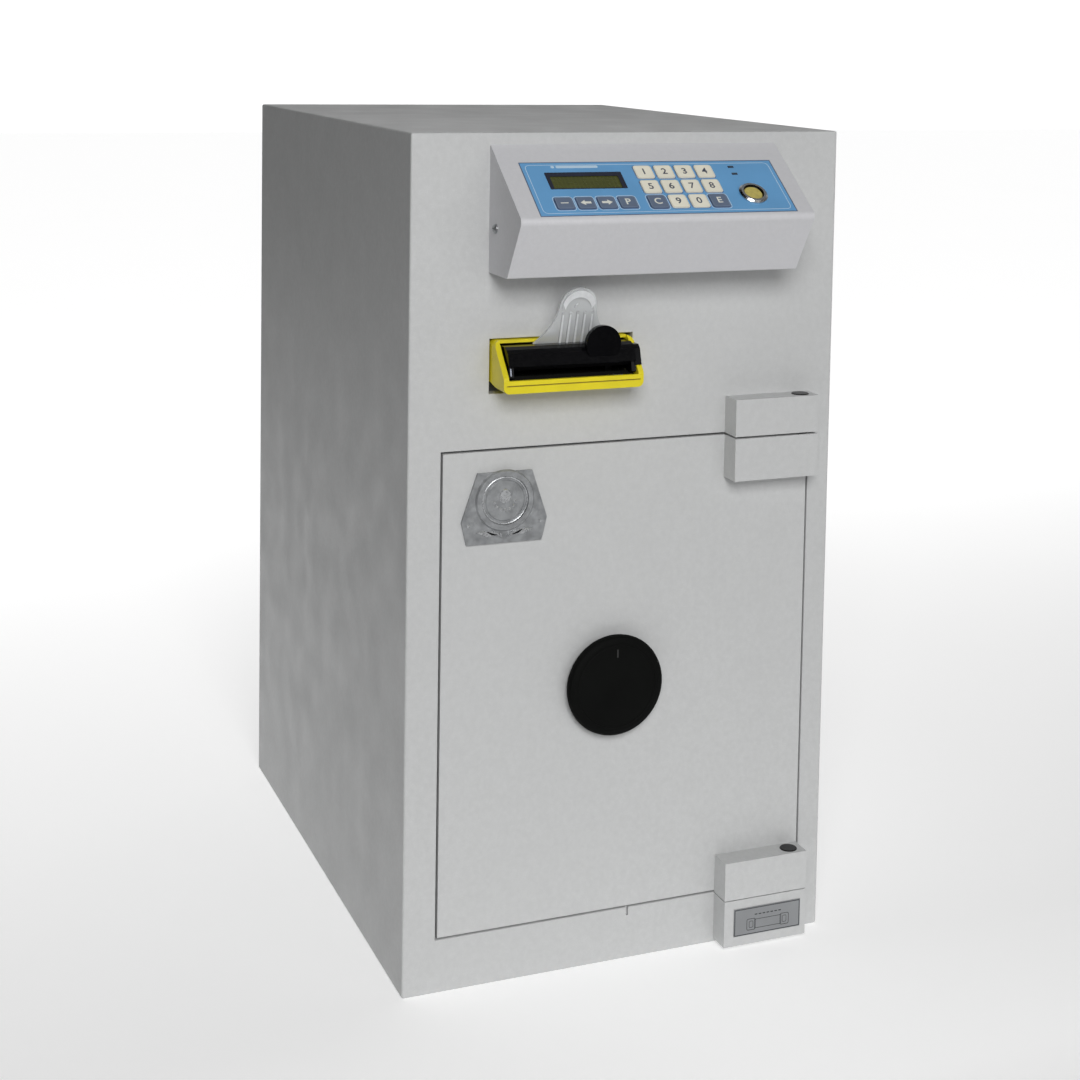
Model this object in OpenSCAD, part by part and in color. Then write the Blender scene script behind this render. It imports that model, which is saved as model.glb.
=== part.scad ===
// Cash deposit safe: a steel cabinet with a keypad console and a banknote acceptor
// above a hinged vault door with a knob, a crank and three locking bolts.
// Millimetres. X runs left to right, Y from the front to the back, Z up from the floor.
// The origin is the centre of the cabinet's footprint.

/* [Cabinet] */
// Width of the cabinet
cabinet_w = 380; // [360:5:420]
// Depth of the cabinet, without the console
cabinet_d = 520; // [480:10:560]
// Height of the cabinet
cabinet_h = 700; // [690:5:760]
// Thickness of the side, top and back plates
wall_t = 6; // [4:1:8]
// Thickness of the front frame and of the door slab
front_t = 12; // [10:1:14]
// Thickness of the floor plate
floor_t = 10; // [8:1:12]
// Height of the underside of the shelf over the vault
shelf_z = 456; // [450:1:460]
// Diameter of an anchor hole in the floor plate
anchor_d = 14; // [10:1:16]

/* [Door] */
// Width of the door slab
door_w = 328.3; // [320:0.1:330]
// Height of the door slab
door_h = 397.2; // [390:0.1:400]
// Height of the door slab's lower edge over the floor
door_z = 46.3; // [46:0.1:48]
// Distance of the door slab's left edge from the cabinet's left side
door_left = 29.4; // [28:0.1:32]
// Gap all round the door slab
door_gap = 1.8; // [1.5:0.1:2]
// Diameter of the knob
knob_d = 85; // [70:1:90]
// Distance of the knob's centre from the cabinet's left side
knob_left = 178.5; // [175:0.5:182]
// Height of the knob's centre
knob_z = 241.4; // [235:0.1:245]

/* [Hinges] */
// Width of a hinge block
block_w = 78; // [70:1:80]
// Projection of a hinge block from the front
block_out = 21; // [20:1:24]
// Diameter of a hinge pin
pin_d = 15; // [12:1:15]
// Length of a hinge pin
pin_l = 65.4; // [62:0.1:66]
// Radial clearance of a turning pin
pin_fit = 0.05; // [0.03:0.01:0.08]

/* [Boltwork] */
// Diameter of a locking bolt
bolt_d = 20; // [16:1:20]
// Radius of the crank pin's path
crank_r = 15; // [14:0.5:16]
// Angle that the knob turns
knob_turn = 90; // [80:5:90]

/* [Console] */
// Width of the console
console_w = 253.8; // [250:0.1:256]
// Distance of the console's left end from the cabinet's left side
console_left = 65.5; // [60:0.5:70]
// Height of the console's upper edge
console_top = 690.5; // [685:0.5:692]
// Height of the console's underside
console_bottom = 588.4; // [586:0.1:592]
// Slope of the key panel
panel_slope = 36.04; // [34:0.01:38]
// Length of the key panel down its slope
panel_l = 92.3; // [90:0.1:94]
// Sheet thickness of the console
console_t = 2.5; // [2:0.1:3]

/* [Keypad] */
// Distance between neighbouring keys
key_pitch = 18; // [17.8:0.1:18.4]
// Width of a key
key_w = 15.4; // [14.6:0.1:15.6]
// Travel of a key
key_travel = 0.8; // [0.5:0.1:1]

/* [Banknote acceptor] */
// Width of the yellow bezel
bezel_w = 120.2; // [119:0.1:121]
// Height of the yellow bezel
bezel_h = 38.5; // [38:0.1:39]
// Projection of the yellow bezel's tray
bezel_out = 32; // [31.5:0.1:32.5]
// Height of the note slot
slot_h = 5.3; // [4.5:0.1:5.5]

/* [Hidden] */
$fn = 48;
side = cabinet_w / 2;
front = -cabinet_d / 2;
back = cabinet_d / 2;
inner_side = side - wall_t;
front_back = front + front_t;

door_x0 = door_left - side;
door_x1 = door_x0 + door_w;
door_z1 = door_z + door_h;
knob_x = knob_left - side;
opening_z1 = door_z1 + door_gap;

block_x1 = side - 23.2;
block_x0 = block_x1 - block_w;
pin_x = block_x1 - 12.3;
pin_y = front - block_out / 2;
upper_block_z1 = 476.6;
upper_knuckle_z0 = 407.4;
lower_block_z0 = 4;
lower_block_z1 = 44;
lower_knuckle_z0 = 44.8;
lower_knuckle_z1 = 77.6;
pin_stand = 0.8;

spindle_r = 6;
crank_y0 = front_back + 3;
crank_y1 = crank_y0 + 5;
crank_pin_r = 4;
// The crank pin at rest, from the knob's centre along X and Z
pin_at = crank_r * [sin(knob_turn / 2), cos(knob_turn / 2)];
bar_y0 = crank_y1 + 4;
bar_y1 = bar_y0 + 6;
bolt_y = (bar_y0 + bar_y1) / 2;
bar_x1 = -112;
bar_x0 = bar_x1 - 6;
bolt_tip_x = -155;
bolt_heights = [110, 245, 380];
guide_x = [-153, -142];
guide_half = 17;
guide_fit = 0.08;
dog_x = [140, 178];
dog_z = [110, 380];
casing_x = [-141, 130];
casing_y = bolt_y + 15;
casing_z = [58, 430];
casing_t = 2;
lock_x = [45, 115];
lock_z = [205, 285];
lock_y = front_back + 24;
lock_screw_in = 8;
badge_x = -108.7;
badge_ring_z = 403.2;
badge_plate_t = 2.4;

console_x0 = console_left - side;
console_x1 = console_x0 + console_w;
nose = [front - panel_l * cos(panel_slope), console_top - panel_l * sin(panel_slope)];
console_profile = [[front, console_top], nose, [front - 43, console_bottom], [front, console_bottom]];
overlay_x0 = -107.7;
overlay_x1 = 115.1;
overlay_v0 = 22.7;
overlay_v1 = 87.1;
overlay_t = 1;
panel_t = 3;
digit_x0 = -4.2;
digit_v0 = 36.7;
soft_x0 = -83.8;
soft_pitch = 17.9;
soft_v = 72.6;
lcd_x = [-88.7, -25.3];
lcd_v = [36.4, 54.4];
reader_at = [83.2, 64.9];
reader_r = 9;
digit_corner = 2.25;
soft_w = key_w - 1;
soft_h = key_w - 2;
soft_corner = 1.75;
lights_at = [[75.9, 31.0], [76.3, 39.7]];

// Key faces, row by row from the upper left.
digit_keys = ["key_1", "key_2", "key_3", "key_4", "key_5", "key_6",
              "key_7", "key_8", "key_c", "key_9", "key_0", "key_e"];
soft_keys = ["key_blank", "key_left", "key_right", "key_p"];

cut_x0 = -122.7;
cut_x1 = 2.1;
cut_z0 = 490.1;
cut_z1 = 534.6;
bezel_x0 = cut_x0 + 1;
bezel_x1 = bezel_x0 + bezel_w;
bezel_z0 = cut_z0 + 5.2;
bezel_z1 = bezel_z0 + bezel_h;
bezel_floor = bezel_z0 + 5.7;
cheek_t = 4.5;
mouth_x0 = bezel_x0 + cheek_t + 1.2;
mouth_x1 = bezel_x1 - cheek_t - 0.6;
mouth_post = 4;
slot_z0 = bezel_z0 + 10.9;
slot_z1 = slot_z0 + slot_h;
mouth_top = bezel_z1 - 3.5;
dome_x = -34.8;
dome_r = 15;
fin_x = -53.5;
fin_l = 50.4;
fin_head_r = 16;
fin_flare = 21;
fin_t = 2.4;
fin_lean = 17;

chassis_x0 = -121.4;
chassis_x1 = -7.4;
note_x = [-112, -17];
chassis_y0 = front + 12;
chassis_y1 = front + 172;
chassis_z0 = 482;
chassis_z1 = 556;
chassis_t = 2.5;
shaft_r = 4;
feed_r = 10.5;
idler_r = 8.5;
roller_y = front + 40;
nip_z = (slot_z0 + slot_z1) / 2;
nip_gap = 0.3;
feed_z = nip_z - nip_gap / 2 - feed_r;
idler_z = nip_z + nip_gap / 2 + idler_r;
throat_y = [front + 137, front + 158];

cassette_x = [-130, 110];
cassette_y = [front + 72, front + 332];
cassette_z = [48, 430];
cassette_t = 2.5;
cassette_seam = 0.05;

cover_x = 130;
cover_z = [490, 650];
cover_t = 2;
cover_lap = 15;
cover_screw = [122, 8];
vent_pitch = 22;
vent_z = [535, 605];
gland_at = [150, 560];
lead_r = 5;
screw_r = 2;
screw_head_r = 3.8;
end_screw = [front - 15.8, 625];
wire_r = 11;
wire_z = 640;
anchor_at = [130, 190];
plate_x = [97.7, 161.2];
plate_z = [12.4, 36.2];
plate_t = 0.8;

// Helpers

// A box between two corners
module block(x, y, z)
    translate([x[0], y[0], z[0]]) cube([x[1] - x[0], y[1] - y[0], z[1] - z[0]]);

// Rods along each axis
module x_rod(r, x, y, z) translate([x[0], y, z]) rotate([0, 90, 0]) cylinder(r = r, h = x[1] - x[0]);
module y_rod(r, x, y, z) translate([x, y[1], z]) rotate([90, 0, 0]) cylinder(r = r, h = y[1] - y[0]);
module z_rod(r, x, y, z) translate([x, y, z[0]]) cylinder(r = r, h = z[1] - z[0]);

// A Y-Z outline drawn out along X
module along_x(x) translate([x[0], 0, 0]) rotate([90, 0, 90]) linear_extrude(x[1] - x[0]) children();

// An X-Z outline drawn out along Y
module along_y(y) translate([0, y[1], 0]) rotate([90, 0, 0]) linear_extrude(y[1] - y[0]) children();

// The key panel's plane: X along the console, Y up the slope, Z out of the panel
module on_panel() translate([0, front, console_top]) rotate([panel_slope, 0, 0]) children();

// A rectangle with round corners about its centre
module round_rect(w, h, r) {
    square([w - 2 * r, h], center = true);
    square([w, h - 2 * r], center = true);
    for (x = [-1, 1], y = [-1, 1]) translate([x * (w / 2 - r), y * (h / 2 - r)]) circle(r = r);
}

function unit(v) = v / norm(v);

// The arc that rounds the corner b between a and c
function corner_arc(a, b, c, r, steps) =
    let (u = unit(a - b), w = unit(c - b), half = acos(u * w) / 2,
         centre = b + unit(u + w) * r / sin(half),
         first = b + u * r / tan(half) - centre, last = b + w * r / tan(half) - centre,
         start = atan2(first[1], first[0]),
         sweep = (atan2(last[1], last[0]) - start + 540) % 360 - 180)
    [for (i = [0 : steps]) centre + r * [cos(start + sweep * i / steps), sin(start + sweep * i / steps)]];

// The corner b between a and c, moved inwards by t; the outline turns clockwise seen along X
function inset_corner(a, b, c, t) =
    let (u = unit(b - a), w = unit(c - b), n = [-u[1], u[0]], m = [-w[1], w[0]])
    b + t * (n + m) / (1 + n * m);

// Cabinet

module front_frame() color([0.75, 0.75, 0.75]) difference() {
    block([-side, side], [front, front_back], [0, cabinet_h]);
    block([door_x0 - door_gap, door_x1 + door_gap], [front - 1, front_back + 1],
          [door_z - door_gap, opening_z1]);
    block([cut_x0, cut_x1], [front - 1, front_back + 1], [cut_z0, cut_z1]);
    block([6.2, 8.2], [front - 1, front + 3], [door_z - door_gap - 7, door_z]);
    y_rod(wire_r, 0, [front - 1, front_back + 1], wire_z);
}

module side_wall(x) color([0.6, 0.6, 0.61]) block(x, [front_back, back], [0, cabinet_h]);
module left_wall() side_wall([-side, -inner_side]);
module right_wall() side_wall([inner_side, side]);

module top_plate() color([0.6, 0.61, 0.61])
    block([-inner_side, inner_side], [front_back, back], [cabinet_h - wall_t, cabinet_h]);

module back_plate() color([0.6, 0.6, 0.61]) difference() {
    block([-inner_side, inner_side], [back - wall_t, back], [0, cabinet_h - wall_t]);
    block([cover_lap - cover_x, cover_x - cover_lap], [back - wall_t - 1, back + 1],
          cover_z + [cover_lap, -cover_lap]);
    y_rod(8, gland_at[0], [back - wall_t - 1, back + 1], gland_at[1]);
    for (x = [-1, 1], z = [cover_z[0] + cover_screw[1], cover_z[1] - cover_screw[1]])
        y_rod(screw_r, x * cover_screw[0], [back - wall_t - 1, back + 1], z);
}

module floor_plate() color([0.6, 0.6, 0.61]) difference() {
    block([-inner_side, inner_side], [front_back, back - wall_t], [0, floor_t]);
    for (x = [-1, 1], y = [-1, 1])
        z_rod(anchor_d / 2, x * anchor_at[0], y * anchor_at[1], [-1, floor_t + 1]);
}

module vault_shelf() color([0.6, 0.6, 0.61]) difference() {
    block([-inner_side, inner_side], [front_back, back - wall_t], [shelf_z, shelf_z + 4]);
    block(note_x, throat_y, [shelf_z - 1, shelf_z + 5]);
}

module rear_cover() color([0.6, 0.6, 0.61]) difference() {
    block([-cover_x, cover_x], [back, back + cover_t], cover_z);
    for (x = [-1, 1], z = [cover_z[0] + cover_screw[1], cover_z[1] - cover_screw[1]])
        y_rod(screw_r + 0.2, x * cover_screw[0], [back - 1, back + 3], z);
    for (i = [-4 : 4])
        block([i * vent_pitch - 2.5, i * vent_pitch + 2.5], [back - 1, back + 3], vent_z);
}

// A pan-head screw pointing along +Z, with its seat at the origin
module pan_screw(l) {
    difference() {
        union() {
            cylinder(r = screw_head_r, h = 1.2);
            translate([0, 0, 1.2]) cylinder(r1 = screw_head_r, r2 = screw_head_r - 1.2, h = 1);
        }
        for (a = [0, 90]) rotate([0, 0, a]) translate([-1.9, -0.4, 1.3]) cube([3.8, 0.8, 1]);
    }
    translate([0, 0, -l]) cylinder(r = screw_r, h = l);
}

module cover_screws() color([0.55, 0.56, 0.57]) {
    for (x = [-1, 1], z = [cover_z[0] + cover_screw[1], cover_z[1] - cover_screw[1]])
        translate([x * cover_screw[0], back + cover_t, z]) rotate([-90, 0, 0]) pan_screw(9);
    for (end = [[console_x0, -90], [console_x1, 90]])
        translate([end[0], end_screw[0], end_screw[1]]) rotate([0, end[1], 0]) pan_screw(7);
}

module cable_gland() color([0.1, 0.1, 0.1]) difference() {
    union() {
        y_rod(8, gland_at[0], [back - wall_t, back], gland_at[1]);
        y_rod(12, gland_at[0], [back, back + 3], gland_at[1]);
        y_rod(8.5, gland_at[0], [back + 3, back + 6], gland_at[1]);
        translate([gland_at[0], back - wall_t, gland_at[1]]) rotate([90, 0, 0])
            cylinder(r = 12.5, h = 4, $fn = 6);
    }
    y_rod(lead_r, gland_at[0], [back - wall_t - 5, back + 7], gland_at[1]);
}

// Hinges

module hinge_block(z) block([block_x0, block_x1], [front - block_out, front], z);

module upper_hinge_block() color([0.75, 0.75, 0.75]) difference() {
    hinge_block([opening_z1, upper_block_z1]);
    z_rod(pin_d / 2, pin_x, pin_y, [opening_z1 - 1, upper_block_z1 + 1]);
}

module lower_hinge_block() color([0.75, 0.75, 0.75]) difference() {
    hinge_block([lower_block_z0, lower_block_z1]);
    z_rod(pin_d / 2, pin_x, pin_y, [lower_knuckle_z1 + pin_stand - pin_l, lower_block_z1 + 1]);
}

// A hinge pin whose upper end stands just clear of its knuckle, with a domed edge
module hinge_pin(top) {
    z_rod(pin_d / 2, pin_x, pin_y, [top - pin_l, top - 0.5]);
    translate([pin_x, pin_y, top - 0.5]) cylinder(r1 = pin_d / 2, r2 = pin_d / 2 - 0.5, h = 0.5);
}

module hinge_pins() color([0.08, 0.08, 0.09]) {
    hinge_pin(upper_block_z1 + pin_stand);
    hinge_pin(lower_knuckle_z1 + pin_stand);
}

module rating_plate() color([0.55, 0.56, 0.57])
    block(plate_x, [front - block_out - plate_t, front - block_out], plate_z);

// Door

module door_panel() color([0.75, 0.75, 0.75]) difference() {
    block([door_x0, door_x1], [front, front_back], [door_z, door_z1]);
    y_rod(10, knob_x, [front - 1, front_back + 1], knob_z);
}

module door_hinge_knuckles() color([0.75, 0.75, 0.75]) difference() {
    union() {
        hinge_block([upper_knuckle_z0, door_z1]);
        hinge_block([lower_knuckle_z0, lower_knuckle_z1]);
    }
    z_rod(pin_d / 2 + pin_fit, pin_x, pin_y, [upper_block_z1 + pin_stand - pin_l - 1, door_z1 + 1]);
    z_rod(pin_d / 2 + pin_fit, pin_x, pin_y, [lower_knuckle_z0 - 1, lower_knuckle_z1 + 1]);
}

module bolt_guides() color([0.45, 0.46, 0.48]) for (z = bolt_heights) difference() {
    block(guide_x, [front_back, bolt_y + 14], [z - guide_half, z + guide_half]);
    x_rod(bolt_d / 2 + guide_fit, guide_x + [-1, 1], bolt_y, z);
}

module spindle_bush() color([0.72, 0.6, 0.3]) difference() {
    union() {
        y_rod(10, knob_x, [front, front_back], knob_z);
        y_rod(13, knob_x, [front_back, front_back + 2], knob_z);
    }
    y_rod(spindle_r + 0.06, knob_x, [front - 1, front_back + 3], knob_z);
}

module badge() color([0.56, 0.56, 0.57]) {
    translate([badge_x, front, 0]) rotate([90, 0, 0]) {
        linear_extrude(badge_plate_t) polygon([[-23.3, 426.5], [-36.6, 387.1], [-32.2, 368.5],
                                     [32.2, 368.5], [36.6, 387.1], [23.3, 426.5]]);
        translate([0, badge_ring_z, badge_plate_t]) difference() {
            cylinder(r1 = 25.3, r2 = 24, h = 1.8);
            translate([0, 0, -1]) cylinder(r = 20, h = 4);
        }
        translate([0, badge_ring_z, badge_plate_t]) cylinder(r1 = 17, r2 = 16, h = 0.8);
    }
}

module dog_bar() color([0.45, 0.46, 0.48]) difference() {
    block(dog_x, [front_back, front_back + 9], dog_z);
    // Relieved where it passes behind the front frame
    block([door_x1, dog_x[1] + 1], [front_back - 1, front_back + 0.6], dog_z + [-1, 1]);
}

module boltwork_cover() color([0.62, 0.63, 0.64]) {
    block(casing_x, [casing_y, casing_y + casing_t], casing_z);
    for (z = [casing_z[0], casing_z[1] - casing_t])
        block(casing_x, [front_back, casing_y], [z, z + casing_t]);
    block([casing_x[1] - casing_t, casing_x[1]], [front_back, casing_y],
          casing_z + [casing_t, -casing_t]);
}

module lock_case() color([0.3, 0.31, 0.33]) {
    block(lock_x, [front_back, lock_y], lock_z);
    for (x = lock_x + [lock_screw_in, -lock_screw_in], z = lock_z + [lock_screw_in, -lock_screw_in])
        y_rod(3, x, [lock_y, lock_y + 2], z);
}

// Knob, crank and bolts

module door_knob() color([0.06, 0.06, 0.06]) translate([knob_x, front, knob_z]) rotate([90, 0, 0])
    difference() {
        rotate_extrude($fn = 96) polygon(concat(
            [[0, 0.4], [12, 0.4], [12, 3], [knob_d / 2 - 2, 3]],
            [for (a = [-60 : 30 : 60]) [knob_d / 2 - 4 + 4 * cos(a), 8 + 4.6 * sin(a)]],
            [[knob_d / 2 - 5, 13], [0, 14]]));
        translate([0, 0, -1]) cylinder(r = spindle_r, h = 10);
    }

module knob_spindle() color([0.55, 0.56, 0.57])
    y_rod(spindle_r, knob_x, [front - 9, crank_y1], knob_z);

module crank_disc() color([0.5, 0.5, 0.52]) {
    difference() {
        y_rod(22, knob_x, [crank_y0, crank_y1], knob_z);
        y_rod(spindle_r, knob_x, [crank_y0 - 1, crank_y1 + 1], knob_z);
    }
    y_rod(crank_pin_r, knob_x + pin_at[0], [crank_y1, bar_y1 + 2], knob_z + pin_at[1]);
}

module bolt_bar() color([0.5, 0.51, 0.53]) {
    block([bar_x0, bar_x1], [bolt_y - 12, bolt_y + 11], [85, 405]);
    difference() {
        block([bar_x1, 24], [bar_y0, bar_y1], [knob_z - 10, knob_z + 32]);
        block([knob_x + pin_at[0] - crank_pin_r - 0.6, knob_x + pin_at[0] + crank_pin_r + 0.6],
              [bar_y0 - 1, bar_y1 + 1],
              [knob_z + pin_at[1] - crank_pin_r - 0.8, knob_z + crank_r + crank_pin_r + 0.8]);
    }
}

module locking_bolts() color([0.7, 0.71, 0.72]) for (z = bolt_heights) {
    x_rod(bolt_d / 2, [bolt_tip_x + 2, bar_x0], bolt_y, z);
    translate([bolt_tip_x, bolt_y, z]) rotate([0, 90, 0])
        cylinder(r1 = bolt_d / 2 - 2, r2 = bolt_d / 2, h = 2);
}

// Console

module console_outline(profile) polygon(concat(
    [profile[0]], corner_arc(profile[0], profile[1], profile[2], 5, 8),
    corner_arc(profile[1], profile[2], profile[3], 2, 4), [profile[3]]));

function inner_profile() =
    let (p = console_profile, n = len(p))
    [for (i = [0 : n - 1]) inset_corner(p[(i + n - 1) % n], p[i], p[(i + 1) % n], panel_t)];

module console_housing() color([0.7, 0.7, 0.71]) difference() {
    along_x([console_x0, console_x1]) console_outline(console_profile);
    // The hollow is open at the back, where the housing meets the front frame
    along_x([console_x0 + console_t, console_x1 - console_t]) polygon([
        inner_profile()[0] + [0, 0], inner_profile()[1], inner_profile()[2],
        [front + 1, console_bottom + panel_t], [front + 1, inner_profile()[0][1]]]);
    on_panel() {
        translate([0, 0, -overlay_t]) linear_extrude(5) overlay_sheet(0.1);
        panel_holes(-9, 0.25);
        at_reader(-9) cylinder(r = reader_r, h = 12);
    }
    for (x = [console_x0 - 1, console_x1 - console_t - 1])
        x_rod(screw_r + 0.2, [x, x + console_t + 2], end_screw[0], end_screw[1]);
}

// Every hole that the keys, the display and the lights need, from height w upwards
module panel_holes(w, gap) {
    translate([0, 0, w]) linear_extrude(12) {
        for (i = [0 : len(digit_keys) - 1])
            at_digit(i) round_rect(key_w + 2 * gap, key_w + 2 * gap, digit_corner + gap);
        for (i = [0 : len(soft_keys) - 1])
            at_soft(i) round_rect(soft_w + 2 * gap, soft_h + 2 * gap, soft_corner + gap);
        translate([lcd_x[0], -lcd_v[1]]) square([lcd_x[1] - lcd_x[0], lcd_v[1] - lcd_v[0]]);
        for (at = lights_at) translate([at[0], -at[1]]) square([5.2, 2.6], center = true);
    }
}

// The overlay's outline, grown by a gap
module overlay_sheet(gap)
    translate([overlay_x0 - gap, -overlay_v1 - gap])
        square([overlay_x1 - overlay_x0 + 2 * gap, overlay_v1 - overlay_v0 + 2 * gap]);

module at_digit(i)
    translate([digit_x0 + key_pitch * (i % 4), -digit_v0 - key_pitch * floor(i / 4), 0]) children();
module at_soft(i) translate([soft_x0 + soft_pitch * i, -soft_v, 0]) children();
module at_reader(w) translate([reader_at[0], -reader_at[1], w]) children();

module console_bracket() color([0.5, 0.5, 0.52]) difference() {
    union() {
        block([console_x0 + console_t, console_x1 - console_t], [front - 2, front], [606, 646]);
        for (x = [console_x0 + console_t, console_x1 - console_t - 2])
            block([x, x + 2], [front - 26, front - 2], [612, 638]);
    }
    y_rod(wire_r, 0, [front - 3, front + 1], wire_z);
    block([-wire_r, wire_r], [front - 3, front + 1], [wire_z, wire_z + 7]);
    x_rod(screw_r, [console_x0, console_x1], end_screw[0], end_screw[1]);
}

module keypad_overlay() color([0.38, 0.62, 0.81]) on_panel() difference() {
    translate([0, 0, -overlay_t]) linear_extrude(overlay_t) overlay_sheet(0);
    panel_holes(-6, 0.25);
    at_reader(-2) cylinder(r = reader_r, h = 4);
}

module lcd_window() color([0.35, 0.37, 0.12]) on_panel()
    block(lcd_x, [-lcd_v[1], -lcd_v[0]], [-panel_t, -0.3]);

module lcd_module() color([0.12, 0.3, 0.16]) on_panel()
    block(lcd_x + [-8, 8], [-63, -27], [-panel_t - 6, -panel_t]);

module keypad_board() color([0.1, 0.35, 0.2]) on_panel() {
    translate([-14, -83, -8.1]) cube([78, 57, 1.6]);
    translate([-94, -83, -8.1]) cube([80, 19.4, 1.6]);
    for (i = [0 : len(digit_keys) - 1]) at_digit(i) translate([0, 0, -6.5]) cylinder(r = 3, h = 1.4);
    for (i = [0 : len(soft_keys) - 1]) at_soft(i) translate([0, 0, -6.5]) cylinder(r = 3, h = 1.4);
}

// A key: a face above the panel, and a flange that keeps it in
module key_body(w, h, r) {
    translate([0, 0, -panel_t - 0.06]) linear_extrude(panel_t + 0.96) round_rect(w, h, r);
    translate([0, 0, -panel_t - 1.06]) linear_extrude(1) square([w + 1.2, h + 1.2], center = true);
}

module digit_key(i) color(i == 8 || i == 11 ? [0.39, 0.45, 0.53] : [0.89, 0.87, 0.8])
    on_panel() at_digit(i) key_body(key_w, key_w, digit_corner);

module soft_key(i) color([0.39, 0.45, 0.53]) on_panel() at_soft(i) key_body(soft_w, soft_h, soft_corner);

module reader_socket() color([0.75, 0.75, 0.76]) on_panel() at_reader(0) difference() {
    union() {
        translate([0, 0, -10]) cylinder(r = reader_r, h = 10);
        cylinder(r = 12.2, h = 1.2);
        translate([0, 0, 1.2]) cylinder(r1 = 12.2, r2 = 10.6, h = 1.3);
    }
    translate([0, 0, -3]) cylinder(r = 8.7, h = 7);
}

module reader_contact() color([0.8, 0.74, 0.43]) on_panel() at_reader(0) {
    translate([0, 0, -3]) cylinder(r = 7.9, h = 3.4);
    translate([0, 0, 0.4]) cylinder(r1 = 7.9, r2 = 7.3, h = 0.6);
}

module status_lights() color([0.25, 0.28, 0.3]) on_panel() for (at = lights_at)
    translate([at[0], -at[1], -panel_t]) linear_extrude(panel_t + 0.2) square([5, 2.4], center = true);

// Banknote acceptor

// The bezel's cheek: it slopes out from its top to the tray, and its underside rises to the wall
bezel_cheek = [[front + 8, bezel_z1 + 1], [front - 5, bezel_z1 + 1], [front - 11, bezel_z1 - 4.3],
               [front - 19, bezel_z1 - 13.3], [front - 26, bezel_z1 - 20.3],
               [front - bezel_out + 1, bezel_z0 + 12.7], [front - bezel_out, bezel_z0 + 10.2],
               [front - bezel_out, bezel_z0 - 1], [front - 16, bezel_z0 - 1],
               [front, bezel_z0 + 4.7], [front + 8, bezel_z0 + 4.7]];

module acceptor_bezel() color([0.88, 0.83, 0.18]) difference() {
    intersection() {
        along_x([bezel_x0 - 1, bezel_x1 + 1]) polygon(bezel_cheek);
        translate([(bezel_x0 + bezel_x1) / 2, 0, (bezel_z0 + bezel_z1) / 2])
            along_y([front - bezel_out - 1, front + 9]) round_rect(bezel_w, bezel_h, 5);
    }
    bezel_cut([front - bezel_out + 3.2, front + 9], [bezel_floor, bezel_z1 - 2.4]);
    bezel_cut([front - bezel_out - 1, front - bezel_out + 4], [bezel_z0 + 10.2, bezel_z1 + 1]);
    bezel_cut([front - 17, front - 4], [bezel_z0 + 20, bezel_z1 + 1]);
    block([bezel_x0 + 2.5, bezel_x1 - 2.5], [front - bezel_out - 1, front - bezel_out + 0.8],
          [bezel_z0 + 5.6, bezel_z0 + 6.7]);
}

// A cut between the bezel's cheeks
module bezel_cut(y, z) block([bezel_x0 + cheek_t, bezel_x1 - cheek_t], y, z);

// The mouth's front, from its top edge down
mouth_front = [[front - 16, mouth_top], [front - 21, mouth_top - 1.8], [front - 24.5, mouth_top - 4.8]];

module mouth_upper() color([0.04, 0.04, 0.05]) {
    along_x([mouth_x0, mouth_x1]) polygon(concat([[chassis_y0, mouth_top]], mouth_front,
        [[front - 27.7, slot_z1 + 4.5], [front - 24, slot_z1 + 1], [front - 18, slot_z1],
         [chassis_y0, slot_z1]]));
    // The ends come down to the tray, and the right one overhangs the bezel's cheek
    for (x = [[mouth_x0, mouth_x0 + mouth_post], [mouth_x1 - mouth_post, mouth_x1]])
        along_x(x) polygon(concat([[front - 14, mouth_top]], mouth_front,
            [[front - 28.5, slot_z0 + 1.5], [front - 14, slot_z0 + 1.5]]));
    along_x([mouth_x1 - 1, bezel_x1 - 0.5]) polygon(concat([[front - 14, mouth_top - 1.8]],
        [mouth_front[1], mouth_front[2]], [[front - 28.4, bezel_z1 - 21], [front - 27.7, bezel_z1 - 21],
        [front - 20.2, bezel_z1 - 13.3]]));
    intersection() {
        y_rod(dome_r, dome_x, [front - 27, front - 22], mouth_top + 0.5);
        block([dome_x - 20, dome_x + 20], [front - 28, front - 21], [mouth_top - 9, mouth_top + 20]);
    }
}

module mouth_lip() color([0.12, 0.12, 0.13]) {
    along_x([mouth_x0, mouth_x1]) polygon([[chassis_y0, slot_z0], [front - 16, slot_z0],
        [front - 24, slot_z0 - 1.2], [front - 28, slot_z0 - 2.2], [front - 28, bezel_floor + 0.2],
        [chassis_y0, bezel_floor + 0.2]]);
    for (x = [mouth_x0, mouth_x1 - mouth_post])
        block([x, x + mouth_post], [front - 14, chassis_y0], [slot_z0, slot_z1]);
}

// The fin's side: how far it is from the middle at height h
function fin_side(h) = fin_head_r + fin_flare * pow(1 - h / (fin_l - fin_head_r), 2);

// The fin's outline: a flared foot and a round head
fin_outline = concat(
    [for (i = [0 : 9]) let (h = i * (fin_l - fin_head_r) / 10) [fin_side(h), h]],
    [for (a = [0 : 15 : 180]) [fin_head_r * cos(a), fin_l - fin_head_r + fin_head_r * sin(a)]],
    [for (i = [9 : -1 : 0]) let (h = i * (fin_l - fin_head_r) / 10) [-fin_side(h), h]]);

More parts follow.
